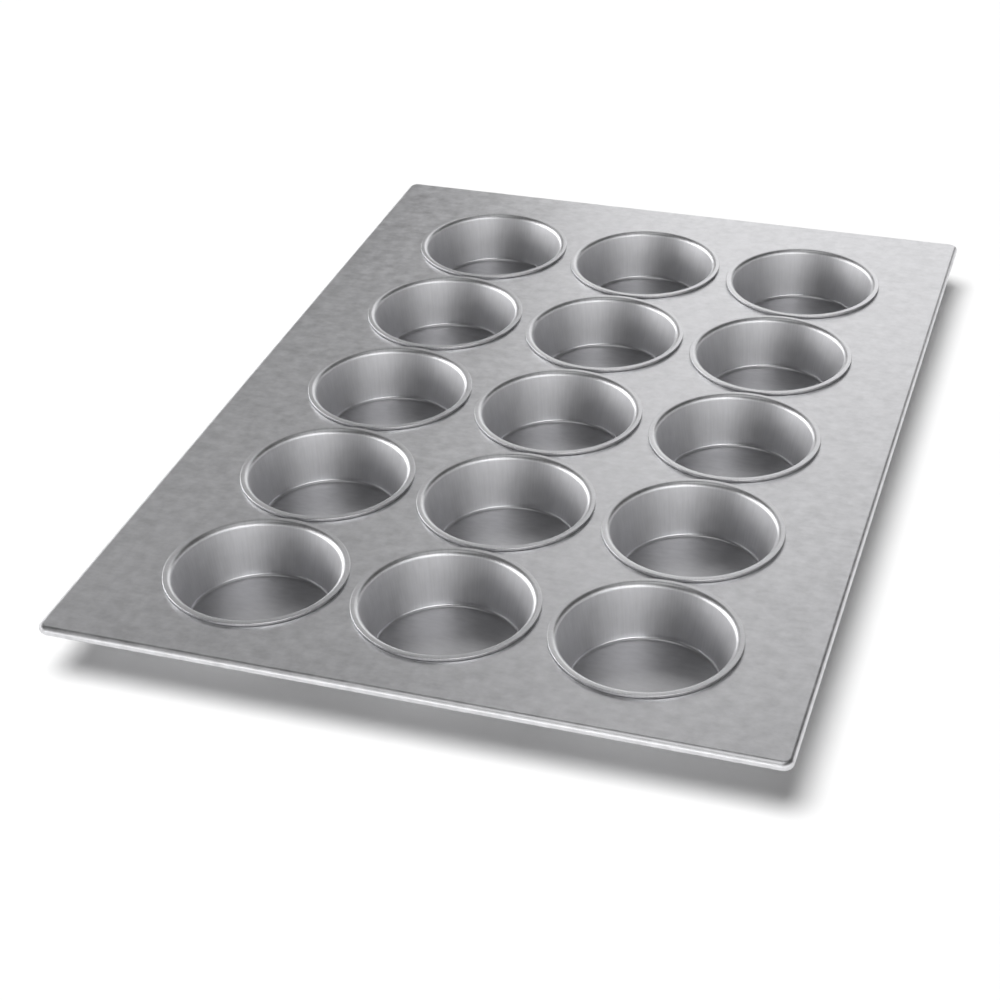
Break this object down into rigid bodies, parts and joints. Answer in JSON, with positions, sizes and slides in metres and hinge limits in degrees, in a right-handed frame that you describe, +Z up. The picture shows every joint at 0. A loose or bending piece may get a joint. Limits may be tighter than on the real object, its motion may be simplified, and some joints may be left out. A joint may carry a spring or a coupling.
{
  "type": "mini cake pan",
  "caption": "Flat bakery pan with rows of round, slightly tapered cups locked into a sheet whose edge is curled over a wire.",
  "frame": {"origin": "centre of the pan's outline, on the plane under the cup floors", "axes": "+X across the three columns to the right, +Y along the five rows to the wider back margin, +Z up out of the cups"},
  "size_m": [0.454, 0.6572, 0.037],
  "materials": {
    "sheet": "satin aluminised steel with a fine rolled grain",
    "cups": "satin aluminised steel, drawn",
    "wire": "drawn steel wire"
  },
  "bodies": {
    "root": {"frame_sheet": "sheet", "rim_wire": "wire", "cup_row1_left": "cups", "cup_row1_middle": "cups", "cup_row1_right": "cups", "cup_row2_left": "cups", "cup_row2_middle": "cups", "cup_row2_right": "cups", "cup_row3_left": "cups", "cup_row3_middle": "cups", "cup_row3_right": "cups", "cup_row4_left": "cups", "cup_row4_middle": "cups", "cup_row4_right": "cups", "cup_row5_left": "cups", "cup_row5_middle": "cups", "cup_row5_right": "cups"}
  },
  "joints": []
}
